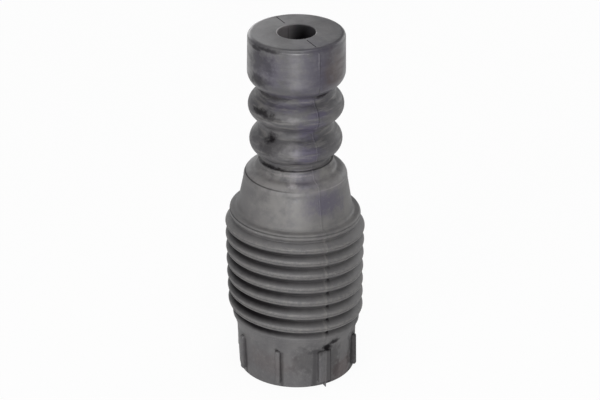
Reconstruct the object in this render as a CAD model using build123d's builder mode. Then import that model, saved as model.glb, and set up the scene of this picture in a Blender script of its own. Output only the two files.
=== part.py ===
import os

from build123d import *

# Dust boot of a shock absorber, one rubber moulding with its axis along Z
# From the rim up: ribbed skirt, bellows, collar, cone, ribbed neck and solid bumper head
# The origin is the centre of the rim, and the mould's parting line runs down the front, at -Y
# Large rounds are cut into short flats, so many to a full circle

# Skirt
skirt_radius = 31.7
skirt_height = 23.5
skirt_wall = 2.7
skirt_bore_depth = 29.0
lead_in = 0.8

# Ribs on the outside of the skirt, the wide ones on the parting line
skirt_rib_count = 8
skirt_rib_proud = 2.1
skirt_rib_width = 3.0
seam_rib_width = 7.2
skirt_rib_gap = 1.0
skirt_rib_height = 21.3
skirt_rib_edge = 0.45

# Bellows, counted up from the low crest that flares down onto the skirt
fold_count = 7
fold_pitch = 7.86
fold_land = 2.9
fold_depth = 2.6
low_fold_radius = 36.6
fold_swell = 0.8
low_crest_radius = 34.5
low_crest_rise = 6.3
flare_rise = 5.6
valley_wall = 2.0

# Collar above the bellows, rounded on top, and the cone that stands on it
collar_radius = 35.1
collar_height = 3.4
collar_round = 2.4
collar_groove_depth = 1.2
collar_wall = 3.0
ledge_width = 0.8
cone_top_radius = 27.7
cone_length = 18.05
cone_wall = 2.8
shoulder_rise = 5.7
shoulder_round = 5.3
corner_sides = 12

# Neck with its two round ribs
neck_radius = 20.0
neck_rib_round = 7.4
lower_neck_rib_radius = 24.6
upper_neck_rib_radius = 25.3
lower_neck_rib_rise = 16.9
neck_rib_pitch = 19.95
bulge_sides = 17

# Bumper head
head_rise = 11.45
head_height = 28.75
head_radius = 25.55
head_base_round = 8.0
head_top_round = 1.75
edge_sides = 8
bore_radius = 10.0
bore_roof = 6.5

# Heights that follow from the sizes above
low_crest_height = skirt_height + low_crest_rise
collar_base = low_crest_height + (fold_count + 1) * fold_pitch - fold_land / 2
collar_top = collar_base + collar_height
cone_top = collar_top + cone_length
shoulder_height = cone_top + shoulder_rise
lower_neck_rib_height = shoulder_height + lower_neck_rib_rise
upper_neck_rib_height = lower_neck_rib_height + neck_rib_pitch
head_base = upper_neck_rib_height + head_rise
head_top = head_base + head_height
ceiling_height = shoulder_height - bore_roof

# The bores keep a wall behind the skirt and behind the deepest groove
skirt_bore_radius = skirt_radius - skirt_wall
collar_groove_radius = collar_radius - collar_groove_depth
low_groove_radius = min(low_crest_radius, low_fold_radius - fold_depth)
bellows_bore_radius = min(low_groove_radius, collar_groove_radius) - valley_wall
cone_foot_radius = collar_radius - collar_round - ledge_width


def fold_radius(number):
    """Radius of a full crest, the lowest being number 1 and the highest the widest."""
    return low_fold_radius + fold_swell * (number - 1) / max(fold_count - 1, 1)


def fold_height(number):
    """Height of the middle of a crest, 0 being the low crest."""
    return low_crest_height + number * fold_pitch


# Outside of the bellows and of what stands below them, as corners from the rim up
outside = [
    (0, 0),
    (skirt_radius, 0),
    (skirt_radius, skirt_height),
    (low_crest_radius, skirt_height + flare_rise),
    (low_crest_radius, low_crest_height + fold_land / 2),
]
for number in range(1, fold_count + 1):
    radius = fold_radius(number)
    height = fold_height(number)
    outside.append((radius - fold_depth, height - fold_pitch / 2))
    outside.append((radius, height - fold_land / 2))
    outside.append((radius, height + fold_land / 2))

# The same for the collar, the cone and the shoulder
outside += [
    (collar_groove_radius, fold_height(fold_count + 0.5)),
    (collar_radius, collar_base),
    (collar_radius, collar_top - collar_round),
    (collar_radius - collar_round, collar_top),
    (cone_foot_radius, collar_top),
    (cone_top_radius, cone_top),
    (cone_top_radius, shoulder_height - shoulder_round),
    (cone_top_radius - shoulder_round, shoulder_height),
    (0, shoulder_height),
]

# Inside, from the mouth of the skirt up to the ceiling under the neck
inside = [
    (0, 0),
    (skirt_bore_radius + lead_in, 0),
    (skirt_bore_radius, lead_in),
    (skirt_bore_radius, skirt_bore_depth),
    (bellows_bore_radius, skirt_bore_depth),
    (bellows_bore_radius, collar_top - collar_wall),
    (cone_top_radius - cone_wall, collar_top - collar_wall),
    (cone_top_radius - cone_wall, ceiling_height),
    (0, ceiling_height),
]

with BuildPart() as dust_boot:
    # Half section of the moulding, turned about its axis
    with BuildSketch(Plane.XZ) as section:
        with BuildLine():
            Polyline(*outside, close=True)
        make_face()

        # Rounds of the collar and the shoulder
        with Locations((collar_radius - collar_round, collar_top - collar_round)):
            RegularPolygon(collar_round, corner_sides, major_radius=False, rotation=180 / corner_sides)
        with Locations((cone_top_radius - shoulder_round, shoulder_height - shoulder_round)):
            RegularPolygon(shoulder_round, corner_sides, major_radius=False, rotation=180 / corner_sides)

        # Neck, with ribs that bulge out between its grooves
        with Locations((0, shoulder_height)):
            Rectangle(neck_radius, head_base + head_base_round - shoulder_height, align=Align.MIN)
        rib_centres = [
            (lower_neck_rib_radius - neck_rib_round, lower_neck_rib_height),
            (upper_neck_rib_radius - neck_rib_round, upper_neck_rib_height),
        ]
        with Locations(*rib_centres):
            RegularPolygon(neck_rib_round, bulge_sides, major_radius=False, rotation=180 / bulge_sides)

        # Head, rounded wide at its base and narrow round its flat top
        with Locations((0, head_base + head_base_round)):
            Rectangle(head_radius - head_top_round, head_height - head_base_round, align=Align.MIN)
            Rectangle(head_radius, head_height - head_base_round - head_top_round, align=Align.MIN)
        with Locations((head_radius - head_base_round, head_base + head_base_round)):
            RegularPolygon(head_base_round, bulge_sides, major_radius=False, rotation=180 / bulge_sides)
        with Locations((head_radius - head_top_round, head_top - head_top_round)):
            RegularPolygon(head_top_round, edge_sides, major_radius=False, rotation=180 / edge_sides)

        # Hollow for the damper, and the rod's bore up through neck and head
        with BuildLine():
            Polyline(*inside, close=True)
        make_face(mode=Mode.SUBTRACT)
        with Locations((0, ceiling_height)):
            Rectangle(bore_radius, head_top - ceiling_height, align=Align.MIN, mode=Mode.SUBTRACT)
    revolve(axis=Axis.Z)

    # Ribs, sunk into the skirt by half its wall
    rib_face = skirt_radius + skirt_rib_proud
    rib_foot = (skirt_radius + skirt_bore_radius) / 2
    with BuildSketch(Plane.XY.offset(skirt_rib_gap)):
        with PolarLocations((rib_face + rib_foot) / 2, skirt_rib_count, start_angle=-90):
            Rectangle(rib_face - rib_foot, skirt_rib_width)
        with PolarLocations((rib_face + rib_foot) / 2, 2, start_angle=-90):
            Rectangle(rib_face - rib_foot, seam_rib_width)
    extrude(amount=skirt_rib_height)
    proud_edges = dust_boot.edges().filter_by(GeomType.LINE).filter_by(
        lambda edge: edge.center().Z < skirt_height
        and (edge.center().X ** 2 + edge.center().Y ** 2) ** 0.5 > rib_face - skirt_rib_edge
    )
    chamfer(proud_edges, skirt_rib_edge)

dust_boot.part.label = "dust_boot"
os.makedirs("parts", exist_ok=True)
export_step(dust_boot.part, "parts/dust_boot.step")
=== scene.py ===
import math

import bpy
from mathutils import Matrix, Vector


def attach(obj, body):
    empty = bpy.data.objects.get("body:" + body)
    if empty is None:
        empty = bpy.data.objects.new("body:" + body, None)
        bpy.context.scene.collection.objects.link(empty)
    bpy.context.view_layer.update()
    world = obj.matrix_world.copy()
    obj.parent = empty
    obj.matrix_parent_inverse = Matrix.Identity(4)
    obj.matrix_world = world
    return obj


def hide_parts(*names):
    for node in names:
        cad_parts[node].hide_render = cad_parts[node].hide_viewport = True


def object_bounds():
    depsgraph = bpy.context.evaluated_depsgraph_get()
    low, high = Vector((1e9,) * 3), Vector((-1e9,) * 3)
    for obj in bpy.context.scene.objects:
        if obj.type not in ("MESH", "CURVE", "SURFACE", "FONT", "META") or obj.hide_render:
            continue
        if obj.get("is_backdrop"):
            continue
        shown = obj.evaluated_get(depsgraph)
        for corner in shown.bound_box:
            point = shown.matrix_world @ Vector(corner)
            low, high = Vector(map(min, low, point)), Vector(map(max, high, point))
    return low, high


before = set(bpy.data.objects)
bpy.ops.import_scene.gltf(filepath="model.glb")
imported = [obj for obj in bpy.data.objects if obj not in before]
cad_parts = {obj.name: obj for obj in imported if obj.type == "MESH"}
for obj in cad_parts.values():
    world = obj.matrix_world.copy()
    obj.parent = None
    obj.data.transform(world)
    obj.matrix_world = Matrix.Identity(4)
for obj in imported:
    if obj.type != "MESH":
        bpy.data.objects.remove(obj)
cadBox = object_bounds()
scene = bpy.context.scene
mm = 0.001
print("frame loaded")


# helpers for picking objects and vertices

def deselectAll():
    if bpy.context.object and bpy.context.object.mode != "OBJECT":
        bpy.ops.object.mode_set(mode="OBJECT")
    bpy.ops.object.select_all(action="DESELECT")


def selectOnly(piece):
    deselectAll()
    piece.select_set(True)
    bpy.context.view_layer.objects.active = piece


def pickVerts(piece, test):
    # selects the vertices that pass the test, and leaves the piece in edit mode
    bpy.ops.object.mode_set(mode="EDIT")
    bpy.ops.mesh.select_mode(type="VERT")
    bpy.ops.mesh.select_all(action="DESELECT")
    bpy.ops.object.mode_set(mode="OBJECT")
    for vert in piece.data.vertices:
        vert.select = test(vert.co)
    bpy.ops.object.mode_set(mode="EDIT")


def settle(piece):
    # the object goes to the origin, and its place into its mesh
    selectOnly(piece)
    bpy.ops.object.transform_apply(location=True, rotation=True, scale=True)


# half section of the boot, radii and heights in mm

boot = {
    "segments": 176,
    "arcStep": 9,  # degrees a step on the neck and the head
    "roundStep": 14,  # degrees a step on the other rounds
    "supportRun": 1.6,  # runs longer than this get a point near each end
    "supportGap": 0.35,
    "leastRun": 0.005,
    "mergeGap": 0.002,
    # skirt, and the lip under the low crest
    "rimRadius": 31.6,
    "rimRound": 0.6,
    "skirtTopRadius": 32.4,
    "skirtTop": 23.8,
    "skirtTopRound": 3.0,
    "lipRadius": 33.7,
    "lipHeight": 28.4,
    "lipRise": 0.7,
    "lipTaper": 0.05,
    "lipRound": 0.5,
    "lowCrestRadius": 34.5,
    "lowCrest": 29.8,
    "lowCrestFoot": 1.1,  # above the lip
    "lowCrestTaper": 0.1,
    "lowCrestFootRound": 0.2,
    "lowCrestEdge": 1.4,  # above the middle of the crest
    "lowCrestRound": 0.9,
    # bellows, with a fine line scored under the middle of each fold
    "foldCount": 7,
    "foldPitch": 7.86,
    "lowFoldRadius": 36.6,
    "foldSwell": 0.8,
    "lowFoldDepth": 3.9,
    "highFoldDepth": 3.2,
    "valleyRound": 0.5,
    "foldHalfLand": 1.5,
    "foldUndercut": 0.45,
    "foldUnderRound": 0.75,
    "foldTopEase": 0.3,
    "foldTopRound": 1.4,
    "notchDrop": 0.35,
    "notchDepth": 0.35,
    "notchHeight": 0.55,
    "notchFootTaper": 0.12,
    "notchRound": 0.12,
    "notchTopRound": 0.15,
    # collar
    "collarRadius": 35.1,
    "collarBottom": 91.23,
    "collarBottomRound": 0.7,
    "collarGrooveDepth": 1.5,
    "collarGrooveDrop": 2.4,
    "collarNotch": 93.2,
    "collarNotchHalf": 0.25,
    "collarNotchTaper": 0.1,
    "collarTop": 94.3,
    "collarTaper": 0.5,
    "collarRound": 1.6,
    # cone, shoulder and the low step at the root of the neck
    "coneFoot": 30.95,
    "coneFootRise": 0.5,
    "coneFootRound": 2.0,
    "coneTopRadius": 27.65,
    "coneTop": 112.68,
    "coneTopRound": 8.0,
    "shoulder": 117.7,
    "shoulderRound": 5.3,
    "shoulderRise": 1.7,
    "stepRadius": 19.9,
    "stepSpread": 1.1,
    "stepFootRound": 2.6,
    "stepTop": 124.2,
    "stepEdge": 0.3,
    "neckFootRound": 0.4,
    "neckFootRise": 0.1,
    "neckStartRise": 0.8,
    # neck: crest and height of each rib, radius and blend of each groove
    "ribRound": 7.4,
    "ribs": [(24.6, 135.28), (25.3, 155.23)],
    "grooves": [(18.5, 1.9), (19.35, 4.1), (20.2, 3.8)],
    # head
    "headBase": 166.68,
    "headBaseRadius": 25.8,
    "headBaseRound": 8.0,
    "headSideRise": 0.3,
    "headTopRadius": 25.5,
    "headTop": 195.43,
    "headTopRound": 2.2,
    # bores and the hollow
    "bore": 10.0,
    "boreEdge": 0.5,
    "ceiling": 111.88,
    "ceilingRound": 3.0,
    "coneBore": 24.9,
    "bellowsBore": 31.8,
    "collarWall": 3.0,
    "hollowRound": 2.0,
    "skirtBore": 29.0,
    "skirtBoreDepth": 29.0,
    "skirtLedgeRound": 1.0,
    "leadIn": 0.8,
    "leadInRound": 0.3,
    # seam on the parting line
    "seamHalfWidth": 0.13,
    "seamFoot": 0.34,
    "seamProud": 0.2,
    "seamSlack": 0.01,
}


def arcPoints(centre, size, start, end):
    steps = max(2, round(abs(end - start) / boot["arcStep"]))
    turns = [math.radians(start + (end - start) * step / steps) for step in range(steps + 1)]
    return [(centre[0] + size * math.cos(turn), centre[1] + size * math.sin(turn)) for turn in turns]


def roundCorners(corners):
    # corners are (radius, height, round), and each round is drawn as a short arc
    points = []
    for index, (radius, height, size) in enumerate(corners):
        here = Vector((radius, height))
        if size == 0 or index in (0, len(corners) - 1):
            points.append(tuple(here))
            continue
        before = (Vector(corners[index - 1][:2]) - here).normalized()
        after = (Vector(corners[index + 1][:2]) - here).normalized()
        half = before.angle(after) / 2
        centre = here + (before + after).normalized() * size / math.sin(half)
        reach = size / math.tan(half)
        first = here + before * reach - centre
        last = here + after * reach - centre
        steps = max(2, round(math.degrees(math.pi - 2 * half) / boot["roundStep"]))
        for step in range(steps + 1):
            points.append(tuple(centre + first.slerp(last, step / steps) * size))
    return points


def addSupports(points):
    # a point close to each end of a long run keeps its shading flat
    result = [points[0]]
    for start, end in zip(points, points[1:]):
        run = math.dist(start, end)
        if run > boot["supportRun"]:
            for share in (boot["supportGap"] / run, 1 - boot["supportGap"] / run):
                result.append(tuple(a + (b - a) * share for a, b in zip(start, end)))
        if run > boot["leastRun"]:
            result.append(end)
    return result


def bulge(crestRadius, height, size, below, above):
    # a rib of the neck, blended into the grooves below and above it
    centre = (crestRadius - size, height)
    points = []
    turn = {}
    for side, groove in ((-1, below), (1, above)):
        if groove is None:
            turn[side] = 0
            continue
        radius, blend = groove
        across = radius + blend - centre[0]
        along = math.sqrt((size + blend) ** 2 - across ** 2)
        turn[side] = math.degrees(math.atan2(along, across))
        foot = (radius + blend, height + side * along)
        if side < 0:
            points += arcPoints(foot, blend, 180, 180 - turn[side])
        else:
            last = arcPoints(foot, blend, 180 + turn[side], 180)
    points += arcPoints(centre, size, -turn[-1], turn[1])
    if above is not None:
        points += last
    return points


def skirtCorners():
    b = boot
    crestFoot = b["lipHeight"] + b["lowCrestFoot"]
    return [
        (b["skirtBore"] + b["leadIn"], 0, 0),
        (b["rimRadius"], 0, b["rimRound"]),
        (b["skirtTopRadius"], b["skirtTop"], b["skirtTopRound"]),
        (b["lipRadius"], b["lipHeight"], b["lipRound"]),
        (b["lipRadius"] + b["lipTaper"], b["lipHeight"] + b["lipRise"], b["lowCrestFootRound"]),
        (b["lowCrestRadius"] - b["lowCrestTaper"], crestFoot, b["lowCrestFootRound"]),
        (b["lowCrestRadius"], b["lowCrest"] + b["lowCrestEdge"], b["lowCrestRound"]),
    ]


def foldCorners(number):
    # one fold with the valley below it, the lowest being number 1
    b = boot
    share = (number - 1) / (b["foldCount"] - 1)
    radius = b["lowFoldRadius"] + b["foldSwell"] * share
    depth = b["lowFoldDepth"] + (b["highFoldDepth"] - b["lowFoldDepth"]) * share
    height = b["lowCrest"] + number * b["foldPitch"]
    notch = height - b["notchDrop"]
    return [
        (radius - depth, height - b["foldPitch"] / 2, b["valleyRound"]),
        (radius - b["foldUndercut"], height - b["foldHalfLand"], b["foldUnderRound"]),
        (radius - b["notchFootTaper"], notch - b["notchHeight"] / 2, b["notchRound"]),
        (radius - b["notchDepth"], notch, b["notchRound"]),
        (radius, notch + b["notchHeight"] / 2, b["notchTopRound"]),
        (radius, height + b["foldHalfLand"] - b["foldTopEase"], b["foldTopRound"]),
    ]


def collarCorners():
    b = boot
    radius = b["collarRadius"]
    notch = b["collarNotch"]
    return [
        (radius - b["collarGrooveDepth"], b["collarBottom"] - b["collarGrooveDrop"], b["valleyRound"]),
        (radius, b["collarBottom"], b["collarBottomRound"]),
        (radius, notch - b["collarNotchHalf"], b["notchRound"]),
        (radius - b["notchDepth"], notch, b["notchRound"]),
        (radius - b["collarNotchTaper"], notch + b["collarNotchHalf"], b["notchTopRound"]),
        (radius - b["collarTaper"], b["collarTop"], b["collarRound"]),
    ]


def coneCorners():
    b = boot
    neckFoot = b["grooves"][0][0]
    return [
        (b["coneFoot"], b["collarTop"] + b["coneFootRise"], b["coneFootRound"]),
        (b["coneTopRadius"], b["coneTop"], b["coneTopRound"]),
        (b["coneTopRadius"], b["shoulder"], b["shoulderRound"]),
        (b["stepRadius"] + b["stepSpread"], b["shoulder"] + b["shoulderRise"], b["stepFootRound"]),
        (b["stepRadius"], b["stepTop"], b["stepEdge"]),
        (neckFoot, b["stepTop"] + b["neckFootRise"], b["neckFootRound"]),
        (neckFoot, b["stepTop"] + b["neckStartRise"], 0),
    ]


def headAndHollowCorners():
    b = boot
    headSide = b["headBase"] + b["headBaseRound"]
    collarCeiling = b["collarTop"] - b["collarWall"]
    return [
        (b["headBaseRadius"], headSide + b["headSideRise"], 0),
        (b["headTopRadius"], b["headTop"], b["headTopRound"]),
        (b["bore"], b["headTop"], b["boreEdge"]),
        (b["bore"], b["ceiling"], b["boreEdge"]),
        (b["coneBore"], b["ceiling"], b["ceilingRound"]),
        (b["coneBore"], collarCeiling, b["hollowRound"]),
        (b["bellowsBore"], collarCeiling, b["hollowRound"]),
        (b["bellowsBore"], b["skirtBoreDepth"], b["skirtLedgeRound"]),
        (b["skirtBore"], b["skirtBoreDepth"], b["boreEdge"]),
        (b["skirtBore"], b["leadIn"], b["leadInRound"]),
        (b["skirtBore"] + b["leadIn"], 0, 0),
    ]


def drawSection():
    # from the rim up the outside, over the head and down through the bores
    b = boot
    corners = skirtCorners()
    for number in range(1, b["foldCount"] + 1):
        corners += foldCorners(number)
    points = roundCorners(corners + collarCorners() + coneCorners())
    for number, (crestRadius, height) in enumerate(b["ribs"]):
        points += bulge(crestRadius, height, b["ribRound"], b["grooves"][number], b["grooves"][number + 1])
    headSide = b["headBase"] + b["headBaseRound"]
    points += bulge(b["headBaseRadius"], headSide, b["headBaseRound"], b["grooves"][-1], None)
    return addSupports(points + roundCorners(headAndHollowCorners()))


def turnBoot():
    points = drawSection()
    deselectAll()
    bpy.ops.mesh.primitive_plane_add(size=mm, location=(0, 0, 0))
    piece = bpy.context.object
    piece.name = "bootMoulding"
    # the plane shrinks to one point, which is drawn out along the section
    bpy.ops.object.mode_set(mode="EDIT")
    bpy.ops.mesh.select_all(action="SELECT")
    bpy.ops.mesh.merge(type="CENTER")
    bpy.ops.transform.translate(value=(points[0][0] * mm, 0, points[0][1] * mm))
    for start, end in zip(points, points[1:]):
        step = ((end[0] - start[0]) * mm, 0, (end[1] - start[1]) * mm)
        bpy.ops.mesh.extrude_vertices_move(TRANSFORM_OT_translate={"value": step})
    bpy.ops.mesh.select_all(action="SELECT")
    bpy.ops.mesh.spin(steps=boot["segments"], angle=math.tau, center=(0, 0, 0), axis=(0, 0, 1))
    bpy.ops.mesh.select_all(action="SELECT")
    bpy.ops.mesh.remove_doubles(threshold=boot["mergeGap"] * mm)
    bpy.ops.mesh.normals_make_consistent(inside=False)
    bpy.ops.object.mode_set(mode="OBJECT")
    return piece


# ribs of the skirt in mm, two of them wide and on the parting line, each of those with a thin fin of flash

skirtRib = {
    "count": 8,
    "face": 34.0,
    "foot": 30.6,
    "width": 3.0,
    "seamWidth": 7.2,
    "bottom": 2.8,
    "top": 22.3,
    "edge": 0.95,
    "edgeSteps": 4,
    "edgeProfile": 0.5,
    "markRadius": 32.0,  # for the painted shadow beside them
    "finFace": 34.3,
    "finWidth": 0.5,
    "finBottom": 0.0,
    "finTop": 21.6,
    "finEdge": 0.18,
}


def addBar(turn, face, width, bottom, top, edge):
    # an upright bar on the skirt with all its edges rounded
    foot = skirtRib["foot"]
    middle = (face + foot) / 2
    deselectAll()
    bpy.ops.mesh.primitive_cube_add(
        size=1,
        location=(middle * mm * math.cos(turn), middle * mm * math.sin(turn), (bottom + top) / 2 * mm),
        rotation=(0, 0, turn),
        scale=((face - foot) * mm, width * mm, (top - bottom) * mm),
    )
    bar = bpy.context.object
    settle(bar)
    bpy.ops.object.mode_set(mode="EDIT")
    bpy.ops.mesh.select_all(action="SELECT")
    bpy.ops.mesh.bevel(
        offset=edge * mm,
        segments=skirtRib["edgeSteps"],
        profile=skirtRib["edgeProfile"],
        affect="EDGES",
    )
    bpy.ops.object.mode_set(mode="OBJECT")
    return bar


def addSkirtRibs(piece):
    r = skirtRib
    bars = []
    for number in range(r["count"]):
        turn = math.radians(-90 + number * 360 / r["count"])
        onParting = number % (r["count"] // 2) == 0
        width = r["seamWidth"] if onParting else r["width"]
        bars.append(addBar(turn, r["face"], width, r["bottom"], r["top"], r["edge"]))
        if onParting:
            fin = addBar(turn, r["finFace"], r["finWidth"], r["finBottom"], r["finTop"], r["finEdge"])
            bars.append(fin)
    selectOnly(piece)
    for bar in bars:
        bar.select_set(True)
    bpy.ops.object.join()


# least radius of the outside above each height, so that no bore wall is lifted with the seam
skinAbove = [
    (boot["shoulder"], boot["grooves"][0][0] - 0.5),
    (boot["collarTop"], boot["coneBore"] + 1),
    (boot["skirtBoreDepth"] - 0.5, boot["bellowsBore"] + 0.2),
    (boot["skirtTop"] - 1, boot["skirtBore"] + 1),
]


def raiseSeam(piece):
    # two cuts each side of the parting plane, and the strip between them is lifted
    for offset in (-boot["seamFoot"], -boot["seamHalfWidth"], boot["seamHalfWidth"], boot["seamFoot"]):
        bpy.ops.object.mode_set(mode="EDIT")
        bpy.ops.mesh.select_all(action="SELECT")
        bpy.ops.mesh.bisect(plane_co=(offset * mm, 0, 0), plane_no=(1, 0, 0))
    reach = (boot["seamHalfWidth"] + boot["seamSlack"]) * mm
    highest = (boot["headTop"] - boot["headTopRound"]) * mm

    def onSeam(co):
        if abs(co.x) > reach or co.z >= highest:
            return False
        for height, radius in skinAbove:
            if co.z > height * mm:
                return abs(co.y) / mm > radius
        return False

    pickVerts(piece, onSeam)
    bpy.ops.transform.shrink_fatten(value=boot["seamProud"] * mm)
    bpy.ops.object.mode_set(mode="OBJECT")


body = turnBoot()
raiseSeam(body)
addSkirtRibs(body)
print("moulding turned and ribbed:", len(body.data.polygons), "faces")


# the rubber leans a little, as the boot in the photo does; each profile gives a value at some heights in mm

lean = {
    "turn": -27.0,  # of the photo's right, in degrees from the x axis
    "levels": 21,
    # how far the right sinks, mm for each mm from the axis
    "sideways": {
        0: 0, 20: 0.03, 30: 0.05, 39: 0.061, 49: 0.064, 59: 0.063,
        78: 0.054, 88: 0.042, 98: 0.042, 108: 0.02, 118: 0.004, 128: 0,
    },
    # how far the back sinks and the front rises
    "nod": {
        20: 0, 29: 0.018, 39: 0.028, 49: 0.038, 59: 0.046,
        69: 0.055, 78: 0.055, 85: 0.05, 95: 0.004, 100: 0,
    },
    # mm to the right
    "shift": {
        0: 0.65, 20: 0.4, 39: -0.15, 59: -0.45, 78: -0.45, 98: -0.3,
        118: -0.1, 137: 0.05, 157: 0.15, 176: 0.35, 196: 0.4,
    },
    "radius": 40.0,
    "height": 196.0,
    "smoothAngle": 35.0,
}


def along(profile, height):
    # reads a profile of the lean at a height in mm
    marks = sorted(profile)
    height = min(max(height, marks[0]), marks[-1])
    for low, high in zip(marks, marks[1:]):
        if height <= high:
            return profile[low] + (profile[high] - profile[low]) * (height - low) / (high - low)


def leanBoot(piece):
    # a lattice of one cell across and many high, the levels of which are tipped and shifted
    turn = math.radians(lean["turn"])
    right = Vector((math.cos(turn), math.sin(turn), 0))
    backward = Vector((-right.y, right.x, 0))
    deselectAll()
    bpy.ops.object.add(type="LATTICE", location=(0, 0, lean["height"] / 2 * mm))
    cage = bpy.context.object
    size = Vector((2 * lean["radius"] * mm, 2 * lean["radius"] * mm, lean["height"] * mm))
    cage.scale = size
    cage.data.points_u = 2
    cage.data.points_v = 2
    cage.data.points_w = lean["levels"]
    cage.data.interpolation_type_u = "KEY_LINEAR"
    cage.data.interpolation_type_v = "KEY_LINEAR"
    cage.data.interpolation_type_w = "KEY_CATMULL_ROM"
    for index, point in enumerate(cage.data.points):
        height = (index // 4) / (lean["levels"] - 1) * lean["height"]  # four points a level
        place = Vector([a * b for a, b in zip(point.co, size)])
        drop = along(lean["sideways"], height) * place.dot(right)
        drop += along(lean["nod"], height) * place.dot(backward)
        moved = place - Vector((0, 0, drop)) + right * along(lean["shift"], height) * mm
        point.co_deform = [a / b for a, b in zip(moved, size)]
    selectOnly(piece)
    bend = piece.modifiers.new("leanCage", "LATTICE")
    bend.object = cage
    bpy.ops.object.modifier_apply(modifier=bend.name)
    bpy.data.objects.remove(cage)


leanBoot(body)
selectOnly(body)
bpy.ops.object.shade_smooth_by_angle(angle=math.radians(lean["smoothAngle"]))
print("boot leaned")


# shader helpers

class Socket:
    # wraps an output, so that shader maths reads as plain expressions
    def __init__(self, graph, output):
        self.graph = graph
        self.output = output

    def math(self, operation, *others):
        return self.graph.node("ShaderNodeMath", {"operation": operation}, self, *others)

    def mathAfter(self, operation, first):
        return self.graph.node("ShaderNodeMath", {"operation": operation}, first, self)

    def __add__(self, other):
        return self.math("ADD", other)

    def __radd__(self, other):
        return self.mathAfter("ADD", other)

    def __sub__(self, other):
        return self.math("SUBTRACT", other)

    def __rsub__(self, other):
        return self.mathAfter("SUBTRACT", other)

    def __mul__(self, other):
        return self.math("MULTIPLY", other)

    def __rmul__(self, other):
        return self.mathAfter("MULTIPLY", other)

    def __truediv__(self, other):
        return self.math("DIVIDE", other)

    def __rtruediv__(self, other):
        return self.mathAfter("DIVIDE", other)

    def __pow__(self, other):
        return self.math("POWER", other)

    def __rpow__(self, other):
        return self.mathAfter("POWER", other)

    def __abs__(self):
        return self.math("ABSOLUTE")


class Graph:
    def __init__(self, owner):
        # the owner is a material or a world
        owner.use_nodes = True
        self.tree = owner.node_tree
        self.tree.nodes.clear()

    def node(self, kind, settings, *values, out=0, **named):
        made = self.tree.nodes.new(kind)
        for key, value in settings.items():
            setattr(made, key, value)
        for index, value in enumerate(values):
            self.feed(made.inputs[index], value)
        for name, value in named.items():
            self.feed(made.inputs[name.replace("_", " ")], value)
        return Socket(self, made.outputs[out]) if made.outputs else None

    def feed(self, target, value):
        if isinstance(value, Socket):
            self.tree.links.new(value.output, target)
        elif value is not None:
            target.default_value = value

    def coords(self):
        return self.node("ShaderNodeTexCoord", {}, out=3)  # Object

    def axis(self, vector, number):
        return self.node("ShaderNodeSeparateXYZ", {}, vector, out=number)

    def stretch(self, vector, factors):
        return self.node("ShaderNodeVectorMath", {"operation": "MULTIPLY"}, vector, factors)

    def fade(self, value, low, high, start, end):
        # eases from start at low to end at high
        eased = {"interpolation_type": "SMOOTHSTEP"}
        return self.node("ShaderNodeMapRange", eased, value, low, high, start, end)

    def line(self, value, centre, inner, outer, strength):
        # full strength as far as inner from the centre, and none past outer
        return self.fade(abs(value - centre), inner, outer, strength, 0.0)

    def blend(self, factor, first, second):
        # five sockets of a Mix node for numbers and vectors lie between its factor and its colours
        skipped = [None] * 5
        return self.node("ShaderNodeMix", {"data_type": "RGBA"}, factor, *skipped, first, second, out=2)


def strongest(first, *others):
    # the highest of several masks, point by point
    for other in others:
        first = first.math("MAXIMUM", other)
    return first


rubberLook = {
    "black": (0.042, 0.040, 0.045),
    "worn": (0.096, 0.093, 0.094),
    # dust, and also painted highlight and sheen
    "dustAndSheen": (0.152, 0.146, 0.139),
    # pale, for painted highlights and painted light
    "highlight": (0.27, 0.255, 0.26),
    # dark plum, for painted shade
    "plumShade": (0.050, 0.043, 0.074),
    "brown": (0.058, 0.043, 0.043),
    # near black, for painted shade, and for soot, dark streaks and the slit
    "shadeAndSoot": (0.005, 0.004, 0.005),
    "shadeAndSootRough": 0.85,
    "shadeAndSootShine": 0.1,
    "headRough": 0.46,
    "bellowsRough": 0.56,
    "cloudRough": 0.3,
    "mottleRough": 0.2,
    "neckRough": 0.08,
    "coatRough": 0.3,
    "neckDull": 0.85,
    "cloudWear": 0.45,
    "mottleWear": 0.9,
    "crestDust": 0.5,
    "warpSize": 1.2,
    "foldWander": 0.6,  # mm that the edges of the crest dust and of the painted shade in the valleys wander on the folds
    "boreShadow": 1.6,  # mm that the dark in the bore reaches lower for each mm to the photo's left
    "grainDepth": 0.12,
    "speckleDepth": 0.3,
    "neckDents": 1.6,
    "bumpStrength": 0.4,
    "bumpDistance": 0.0007,
}

# noises: how many times wider than tall the grains are, scale, detail, roughness
noises = {
    "cloud": (1, 42.0, 5.0, 0.62),
    "mottle": (1, 150.0, 4.0, 0.6),
    "speckle": (1, 520.0, 4.0, 0.7),
    "streak": (5, 60.0, 4.0, 0.6),
    "smearAndSheen": (9, 75.0, 4.0, 0.65),
    "warp": (1, 260.0, 3.0, 0.6),
    "grain": (1, 1400.0, 2.0, 0.6),
    "dents": (2.2, 90.0, 3.0, 0.5),
}

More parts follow.
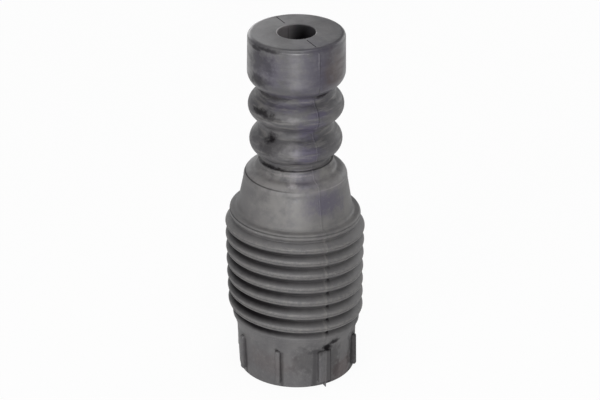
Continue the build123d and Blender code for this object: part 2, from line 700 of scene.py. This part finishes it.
# fades: two ends, in mm on the boot or as values of a noise, and the strength at each end
fades = {
    "bellowsFoot": (30.5, 32.5, 0, 1),
    "bellowsTop": (91.2, 92.2, 1, 0),
    "bellowsSkin": (32.2, 32.5, 0, 1),
    "neckFoot": (118, 121, 0, 1),
    "neckTop": (168, 171, 1, 0),
    "skirtOnly": (21.5, 22.5, 1, 0),
    "boreWall": (10.1, 10.4, 1, 0),
    "coneSkin": (25.5, 26, 0, 1),
    "nodUp": (25, 70, 0.012, 0.055),
    "nodEnd": (86, 94, 1, 0.1),
    # painted shade in the valleys of the bellows
    "valleyWider": (-10, 24, 0, 0.7),
    "valleyDark": (1.5, 4.1, 0, 1),
    "crestLand": (1.0, 1.8, 1, 0),
    "wearUp": (110, 130, 0.62, 0),
    "darkerSkirt": (20, 30, 0.75, 1),
    "wearCloud": (0.36, 0.66, 0, 1),
    "crestSpeckle": (0.32, 0.68, 0, 1),
    "patches": (0.25, 0.6, 0, 1),
    "dustSpeckle": (0.5, 0.8, 0, 0.35),
    "dustUp": (110, 170, 1, 0.4),
    # painted highlight and shade along the mould's ring round the top of the cone
    "ringHighlightRight": (-26, -6, 1, 0),
    "ringShadeLeft": (-8, 18, 0, 1),
    "smearAndSheenStreaks": (0.5, 0.66, 0, 0.5),
    # painted light on the left of the rod bore's wall, and painted shade deep in the bore
    "boreLitLeft": (-2, 8, 0, 1),
    "boreDark": (182, 199, 1, 0),
    # painted shade in the valleys and notches: thicker on the left, stronger low down
    "shadeLeft": (-30, 24, 0.5, 1),
    "valleyShadeUp": (34, 80, 1, 0.85),
    "valleyShadeTop": (82, 87.5, 1, 0.2),
    "neckStreaks": (0.52, 0.74, 0, 0.45),
    "topFace": (194.5, 195.2, 0, 1),
    "slitStart": (12.2, 12.8, 0, 1),
    "slitEnd": (22.5, 23.2, 1, 0),
    "seamDirtUp": (130, 150, 0.2, 1),
    "seamDirtFoot": (22.5, 24, 0, 1),
    "seamDirtTop": (193, 194.5, 1, 0),
    "seamDirtCloud": (0.35, 0.6, 0, 1),
    "seamValleyShadeUp": (60, 90, 1, 0.3),
    "dentsUp": (100, 125, 0.7, 1),
    "glossUp": (117, 123, 0, 0.6),
    "glossStreak": (0.35, 0.65, 0.25, 1),
    "roughUp": (94, 130, rubberLook["bellowsRough"], rubberLook["headRough"]),
}

# lines: centre, half width at full strength and half width where it ends, all in mm, and strength
lines = {
    # painted shade in the notches of the folds and the collar
    "foldNotch": (-boot["notchDrop"], 0.1, 0.45, 0.25),
    "collarNotch": (boot["collarNotch"], 0.1, 0.6, 0.5),
    # painted highlight and shade along the mould's ring round the top of the cone
    "ringHighlight": (115.8, 0.1, 0.4, 0.5),
    "ringShade": (115.8, 0.1, 0.5, 0.7),
    "paleBesideSeam": (-0.6, 0.4, 1.4, 0.3),
    "slit": (0, 0.12, 0.36, 1),
    "besideSeam": (0.6, 0.1, 0.5, 0.5),
    # painted shade in the valleys just right of the seam
    "seamValleyShade": (1.8, 0.5, 1.5, 1),
    # painted shade on and beside the wide ribs, and painted shadow to the right of each rib
    "ribCrease": (1.7, 0.1, 0.8, 0.4),
    "ribRight": (4.2, 0.4, 1.5, 0.75),
    "ribLeft": (-4.9, 0.4, 2.4, 0.42),
    "ribShadow": (2.4, 0.3, 1.5, 0.4),
}

# how much the rings of the leaned boot rise, mm for each mm to the photo's left or towards the camera
ringRise = {
    "bellowsLeft": 0.057,
    "bellowsTopFront": 0.05,
    "collarLeft": 0.042,
    "collarFront": 0.01,
    "coneLeft": 0.03,
}

# marks on the rubber: turn from the front seam in degrees, height, width and tallness in mm, strength
# painted shade: in the creases and grooves of the neck and under the head, dark reflections on the head's
# sides and top edge, shadows at the tops of the skirt ribs, under the flare and beside the wide rib, and a
# dark strip down the rib at the right
shadeMarks = [
    (-62, 193.6, 12, 1.3, 0.7),
    (-82, 192.6, 7, 1.6, 0.7),
    (-74, 186.0, 12, 9, 0.45),
    (10, 184.0, 9, 16, 0.25),
    (26, 183.0, 24, 24, 0.12),
    (-76, 175.5, 9, 5, 0.6),
    (-84, 166.0, 12, 3, 0.6),
    (-70, 157.2, 10, 2.6, 0.85),
    (-62, 156.0, 9, 2.4, 0.6),
    (-58, 165.5, 14, 2.2, 0.6),
    (12, 166.5, 8, 2.0, 0.8),
    (-66, 143.2, 6, 5.5, 1.0),
    (-64, 138.0, 8, 6, 0.5),
    (-64, 124.6, 13, 1.2, 0.9),
    (-20, 125.6, 20, 1.0, 0.35),
    (-85, 24.0, 1.8, 1.2, 0.8),
    (-46, 23.0, 1.8, 1.4, 0.6),
    (4.5, 23.4, 4.5, 4.0, 1.0),
    (10, 25.6, 7, 2.4, 0.9),
    (-8, 21.5, 8, 2.5, 0.5),
    (45, 12.0, 8, 26, 0.6),
    (-16, 17.0, 10, 12, 0.3),
    (13, 13.0, 5, 20, 0.35),
]
# painted shade in a plum tint: in the grooves and creases of the neck and under the head, on the shoulder
# and the cone, and dark reflections on the head's sides
plumShadeMarks = [
    (-11, 165.0, 10, 4, 0.8),
    (-7, 150.5, 11, 6, 0.8),
    (-13, 136.0, 10, 8, 0.8),
    (-14, 121.0, 11, 7, 0.6),
    (-9, 146.0, 9, 6, 0.9),
    (2, 158.0, 10, 3, 0.7),
    (-36, 162.0, 16, 3, 0.6),
    (8, 108.0, 18, 9, 0.65),
    (6, 183.0, 7, 14, 0.7),
    (6, 181.0, 20, 24, 0.5),
    (-62, 183.0, 14, 12, 0.5),
    (-30, 168.0, 20, 3, 0.6),
]
brownMarks = [
    (28, 181.0, 12, 14, 0.9),
    (24, 6.0, 14, 9, 0.8),
    (-55, 14.0, 20, 9, 0.35),
]
dustAndHighlightMarks = [
    (-38, 106.0, 26, 14, 0.6),
    # the next two are a painted highlight on the front of the shoulder
    (-28, 120.5, 4, 6, 1.0),
    (-28, 120.5, 8, 10, 0.8),
    (20, 121.0, 26, 6, 0.8),
    (-70, 119.0, 18, 6, 0.6),
    (-45, 119.5, 22, 7, 0.7),
    (-15, 117.0, 14, 6, 0.4),
    (-30, 96.0, 34, 6, 0.5),
    (40, 102.0, 22, 12, 0.45),
    (-60, 114.5, 16, 7, 0.55),
    (26, 116.0, 16, 8, 0.5),
    (30, 96.0, 26, 10, 0.45),
    (35, 152.0, 12, 8, 0.35),
]
# painted highlights: on the shoulder, down the front of the head and the neck ribs, and along the step at
# the root of the neck
highlightMarks = [
    (-31, 119.6, 3.6, 6, 1.0),
    (-36, 122.0, 13, 1.0, 0.5),
    (-16, 122.0, 7, 1.0, 0.6),
    (-28, 182.0, 4, 26, 0.09),
    (-31, 156.0, 4, 2.5, 0.3),
    (-30, 138.0, 5, 9, 0.3),
    (-30, 118.0, 60, 5, 0.16),
]

# how the edge of a mark fades, in half widths of the mark
markEdge = {"warp": 2.6, "inner": 0.5, "outer": 2.2}

# top of each stretch of the boot and near enough its outside radius, in mm
stretches = [(24, 31.8), (95, 36), (113, 29.5), (119, 26), (168, 23.5), (200, 25.5)]


def surfaceRadius(height):
    for top, radius in stretches:
        if height < top:
            return radius


class RubberMap:
    # what the layers of the rubber share: places in mm, noises and the rings of the bellows
    def __init__(self, g):
        self.graph = g
        self.at = g.coords()  # in metres
        x, y, z = (g.axis(self.at, number) / mm for number in range(3))
        turn = math.radians(lean["turn"])
        self.x = x
        self.y = y
        self.z = z
        self.radius = (x * x + y * y) ** 0.5
        self.left = y * -math.sin(turn) - x * math.cos(turn)  # towards the photo's left
        self.front = x * math.sin(turn) - y * math.cos(turn)  # towards the camera

        self.cloud = self.noise("cloud")
        self.mottle = self.noise("mottle")
        self.speckle = self.noise("speckle")
        self.streak = self.noise("streak")
        self.warp = (self.noise("warp") - 0.5) * rubberLook["warpSize"]

        # the rings are counted along an axis that leans as they do
        nod = self.fade(z, "nodUp") * self.fade(z - self.front * ringRise["bellowsTopFront"], "nodEnd")
        self.ringHeight = z - self.left * ringRise["bellowsLeft"] - self.front * nod
        ring = (self.ringHeight - boot["lowCrest"]) / boot["foldPitch"] + 0.5
        self.fromCrest = (ring.math("FRACT") - 0.5) * boot["foldPitch"]  # mm above the nearest crest
        self.offCrest = abs(self.fromCrest + self.warp * rubberLook["foldWander"])

        self.onBellows = self.fade(self.ringHeight, "bellowsFoot") * self.fade(self.ringHeight, "bellowsTop")
        self.onNeck = self.fade(z, "neckFoot") * self.fade(z, "neckTop")
        self.onSkirt = self.fade(z, "skirtOnly")
        self.inBore = self.fade(self.radius, "boreWall")
        self.patchy = self.fade(self.mottle, "patches")

    def noise(self, name):
        flatter, scale, detail, rough = noises[name]
        g = self.graph
        at = self.at if flatter == 1 else g.stretch(self.at, (1, 1, flatter))
        return g.node("ShaderNodeTexNoise", {}, Vector=at, Scale=scale, Detail=detail, Roughness=rough)

    def fade(self, value, name):
        return self.graph.fade(value, *fades[name])

    def line(self, value, name):
        return self.graph.line(value, *lines[name])

    def paint(self, colour, mask, name):
        return self.graph.blend(mask, colour, (*rubberLook[name], 1))

    def marks(self, spots):
        # one soft spot for each mark, its edge broken up by the noise
        g = self.graph
        masks = []
        for turn, height, width, tall, strength in spots:
            turn = math.radians(turn)
            radius = surfaceRadius(height)
            centre = (math.sin(turn) * radius * mm, -math.cos(turn) * radius * mm, height * mm)
            gap = g.node("ShaderNodeVectorMath", {"operation": "SUBTRACT"}, self.at, centre)
            scaled = g.stretch(gap, (2 / (width * mm), 2 / (width * mm), 2 / (tall * mm)))
            far = g.node("ShaderNodeVectorMath", {"operation": "LENGTH"}, scaled, out=1)
            far = far + self.warp * markEdge["warp"]
            masks.append(g.fade(far, markEdge["inner"], markEdge["outer"], strength, 0.0))
        return strongest(*masks)


def rubberColour(m):
    look = rubberLook
    # the worn grey is strongest below the neck, and less on the lower skirt, which is darker towards the
    # bottom
    worn = m.fade(m.z, "wearUp") * m.fade(m.z, "darkerSkirt")
    worn = worn + m.fade(m.cloud, "wearCloud") * look["cloudWear"] + (m.mottle - 0.5) * look["mottleWear"]
    worn = strongest(worn, 0.0).math("MINIMUM", 1.0)
    colour = m.paint((*look["black"], 1), worn, "worn")
    crest = m.onBellows * m.fade(m.offCrest, "crestLand")
    colour = m.paint(colour, crest * m.fade(m.speckle, "crestSpeckle") * look["crestDust"], "dustAndSheen")
    # dust, and a painted highlight on the shoulder
    colour = m.paint(colour, m.marks(dustAndHighlightMarks) * m.patchy, "dustAndSheen")
    # painted shade in a plum tint
    colour = m.paint(colour, m.marks(plumShadeMarks), "plumShade")
    # painted highlights
    colour = m.paint(colour, m.marks(highlightMarks) * m.patchy, "highlight")
    colour = m.paint(colour, m.marks(brownMarks), "brown")
    colour = m.paint(colour, m.fade(m.speckle, "dustSpeckle") * m.fade(m.z, "dustUp"), "dustAndSheen")

    # a painted highlight along the mould's ring round the top of the cone, on the right
    ring = m.line(m.z - m.left * ringRise["coneLeft"], "ringHighlight")
    ring = ring * m.fade(m.left, "ringHighlightRight") * m.fade(m.radius, "coneSkin")
    colour = m.paint(colour, ring * m.patchy, "highlight")
    # pale streaks on the neck, partly dust smears and partly painted sheen, and a pale line just left of the
    # seam on the bellows
    smearAndSheen = m.fade(m.noise("smearAndSheen"), "smearAndSheenStreaks") * m.onNeck
    colour = m.paint(colour, strongest(smearAndSheen, m.line(m.x, "paleBesideSeam") * m.onBellows), "dustAndSheen")
    # painted light on the left of the rod bore's wall
    return m.paint(colour, m.inBore * m.fade(m.left, "boreLitLeft"), "highlight")


def shadeAndSootMask(m):
    # painted shade in the grooves, thickest round the left, and in the rod bore; the other painted shade and
    # shadow, dark streaks and the slit take the same near-black
    thick = m.fade(m.left, "shadeLeft")
    bellowsSkin = m.fade(m.radius, "bellowsSkin")
    # painted shade in the valleys of the bellows, wider towards the left
    valley = m.onBellows * m.fade(m.offCrest + m.fade(m.left, "valleyWider"), "valleyDark") * bellowsSkin
    # painted shade along the notches of the folds and of the collar
    notch = m.onBellows * m.line(m.fromCrest, "foldNotch")
    collarHeight = m.z - m.left * ringRise["collarLeft"] - m.front * ringRise["collarFront"]
    notch = strongest(notch, m.line(collarHeight, "collarNotch") * bellowsSkin)
    low = m.fade(m.ringHeight, "valleyShadeUp") * m.fade(m.ringHeight, "valleyShadeTop")
    # painted shade deep in the rod bore, reaching lower on the left
    bore = m.inBore * m.fade(m.z + m.left * rubberLook["boreShadow"], "boreDark")

    # the slit across the top of the head, dirt gathered beside the seam, painted shade in the valleys beside
    # the seam, and painted shade and shadow on and beside the ribs of the skirt
    slit = m.line(m.x, "slit") * m.fade(m.z, "topFace")
    slit = slit * m.fade(m.radius, "slitStart") * m.fade(m.radius, "slitEnd")
    beside = m.line(m.x, "besideSeam") * m.fade(m.z, "seamDirtUp") * m.fade(m.z, "seamDirtFoot")
    beside = beside * m.fade(m.z, "seamDirtTop") * m.fade(m.cloud, "seamDirtCloud")
    # painted shade in the valleys just right of the seam
    seamValleyShade = m.line(m.x, "seamValleyShade") * valley * m.fade(m.z, "seamValleyShadeUp")
    # painted shade on the wide ribs: a crease line, and beside their right and left flanks
    wideRibShade = strongest(m.line(m.x, "ribCrease"), m.line(m.x, "ribRight"), m.line(m.x, "ribLeft"))
    # painted shadow on the skirt to the right of each rib
    ribTurn = math.tau / skirtRib["count"]
    share = m.graph.node("ShaderNodeMath", {"operation": "ARCTAN2"}, m.x, 0 - m.y) / ribTurn + 0.5
    fromRib = (share.math("FRACT") - 0.5) * (ribTurn * skirtRib["markRadius"])  # mm from the nearest rib
    # painted shade along the mould's ring round the top of the cone, on the left
    ring = m.line(m.z - m.left * ringRise["coneLeft"], "ringShade")
    ring = ring * m.fade(m.left, "ringShadeLeft") * m.fade(m.radius, "coneSkin")
    return strongest(
        valley * thick * low,
        notch * thick,
        bore,
        m.marks(shadeMarks),
        m.fade(m.streak, "neckStreaks") * m.onNeck,
        slit,
        beside,
        seamValleyShade,
        wideRibShade * m.onSkirt,
        m.line(fromRib, "ribShadow") * m.onSkirt,
        ring,
    )


def rubberRough(m):
    look = rubberLook
    uneven = (m.cloud - 0.5) * look["cloudRough"] + (m.mottle - 0.5) * look["mottleRough"]
    return m.fade(m.z, "roughUp") + uneven + m.onNeck * look["neckRough"]


def rubberBump(m):
    look = rubberLook
    dents = m.noise("dents") * (m.fade(m.z, "dentsUp") + m.onNeck * look["neckDents"])
    height = m.noise("grain") * look["grainDepth"] + m.speckle * look["speckleDepth"] + dents
    return m.graph.node("ShaderNodeBump", {}, Strength=look["bumpStrength"], Distance=look["bumpDistance"],
                        Height=height)


def mouldedRubber():
    look = rubberLook
    material = bpy.data.materials.new("mouldedRubber")
    g = Graph(material)
    m = RubberMap(g)
    gloss = m.fade(m.z, "glossUp") * m.fade(m.streak, "glossStreak") * (1 - m.onNeck * look["neckDull"])
    rubber = g.node("ShaderNodeBsdfPrincipled", {}, Base_Color=rubberColour(m), Roughness=rubberRough(m),
                    Normal=rubberBump(m), Coat_Weight=gloss, Coat_Roughness=look["coatRough"])
    # a dull near-black finish, mixed in for painted shade, and for soot and the slit
    shadeAndSoot = g.node("ShaderNodeBsdfPrincipled", {}, Base_Color=(*look["shadeAndSoot"], 1), Roughness=look["shadeAndSootRough"],
                  Specular_IOR_Level=look["shadeAndSootShine"])
    mixed = g.node("ShaderNodeMixShader", {}, shadeAndSootMask(m), rubber, shadeAndSoot)
    g.node("ShaderNodeOutputMaterial", {}, mixed)
    return material


body.data.materials.clear()
body.data.materials.append(mouldedRubber())
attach(body, "root")
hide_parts("dust_boot")
print("rubber laid on")


# floor, backdrop, lamps and camera, in metres

studio = {
    "floorSize": 6.0,
    "floorColour": (0.85, 0.85, 0.85),
    "floorGlow": 0.94,
    "worldLevel": 0.14,
    "glossyLevel": 0.2,
    "white": (1, 1, 1, 1),
    "aim": (0, 0, 0.1),
}


def cameraRay(g):
    return g.node("ShaderNodeLightPath", {})


def glossyRay(g):
    return g.node("ShaderNodeLightPath", {}, out=3)


def paleGround():
    material = bpy.data.materials.new("paleGround")
    g = Graph(material)
    matt = g.node("ShaderNodeBsdfDiffuse", {}, Color=(*studio["floorColour"], 1))
    glow = g.node("ShaderNodeEmission", {}, Color=studio["white"], Strength=1.0)
    seen = (cameraRay(g) + glossyRay(g)) * studio["floorGlow"]
    g.node("ShaderNodeOutputMaterial", {}, g.node("ShaderNodeMixShader", {}, seen, matt, glow))
    return material


def paleWorld():
    world = bpy.data.worlds.new("studioWorld")
    g = Graph(world)
    dim = g.node("ShaderNodeBackground", {}, Color=studio["white"], Strength=studio["worldLevel"])
    white = g.node("ShaderNodeBackground", {}, Color=studio["white"], Strength=1.0)
    seen = cameraRay(g) + glossyRay(g) * studio["glossyLevel"]
    g.node("ShaderNodeOutputWorld", {}, g.node("ShaderNodeMixShader", {}, seen, dim, white))
    return world


deselectAll()
bpy.ops.mesh.primitive_plane_add(size=studio["floorSize"], location=(0, 0, 0))
ground = bpy.context.object
ground.name = "studioGround"
ground.data.materials.append(paleGround())
ground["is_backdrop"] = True

scene.world = paleWorld()

cameraTurn = -27.0  # degrees to the right of the front seam, as seen from the front

# lamps: degrees to the right of the camera and above the floor, distance, width, height, power
lamps = {
    "overheadBox": (0, 78, 1.2, 0.7, 0.6, 6.0),
    "frontStrip": (2, 1.5, 1.2, 0.09, 0.16, 8.5),
    "frontBox": (0, 45, 1.3, 0.6, 0.5, 2.5),
    "leftBox": (-36, 12, 1.3, 0.4, 0.5, 5.0),
    "rightRimBox": (132, 14, 1.3, 0.8, 0.7, 5.0),
    "backGlow": (-160, 14, 1.3, 0.9, 0.6, 4.0),
}


def towards(turn, elevation):
    # a step of one metre from the boot, in degrees to the right of the front seam and above the floor
    turn = math.radians(turn)
    elevation = math.radians(elevation)
    level = math.cos(elevation)
    return Vector((math.sin(turn) * level, -math.cos(turn) * level, math.sin(elevation)))


def addLamp(name, turn, elevation, distance, width, height, power):
    away = towards(cameraTurn + turn, elevation)
    deselectAll()
    bpy.ops.object.light_add(type="AREA", location=Vector(studio["aim"]) + away * distance)
    lamp = bpy.context.object
    lamp.name = name
    lamp.data.shape = "RECTANGLE"
    lamp.data.size = width
    lamp.data.size_y = height
    lamp.data.energy = power
    lamp.rotation_euler = (-away).to_track_quat("-Z", "Y").to_euler()


for name, values in lamps.items():
    addLamp(name, *values)

# camera: degrees and metres, and the last three in pixels of the photo
view = {
    "elevation": 27.0,
    "distance": 1.25,
    "aim": (0, 0, 0.098),
    "clipEnd": 20.0,
    "sensorWidth": 36.0,  # mm
    "focalPixels": 2339.0,
    "imageWidth": 600.0,
    "axisOffset": 4.2,
}

offset = towards(cameraTurn, view["elevation"])
deselectAll()
bpy.ops.object.camera_add(location=Vector(view["aim"]) + offset * view["distance"])
camera = bpy.context.object
camera.name = "photoCamera"
camera.rotation_euler = (-offset).to_track_quat("-Z", "Y").to_euler()
camera.data.sensor_width = view["sensorWidth"]
camera.data.lens = view["focalPixels"] / view["imageWidth"] * view["sensorWidth"]
camera.data.shift_x = view["axisOffset"] / view["imageWidth"]
camera.data.clip_end = view["clipEnd"]
scene.camera = camera
scene.view_settings.view_transform = "Standard"
print("studio set")

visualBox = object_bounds()
sizes = {name: [list(corner) for corner in box] for name, box in (("cad", cadBox), ("visual", visualBox))}
print("cad box", sizes["cad"], "visual box", sizes["visual"])
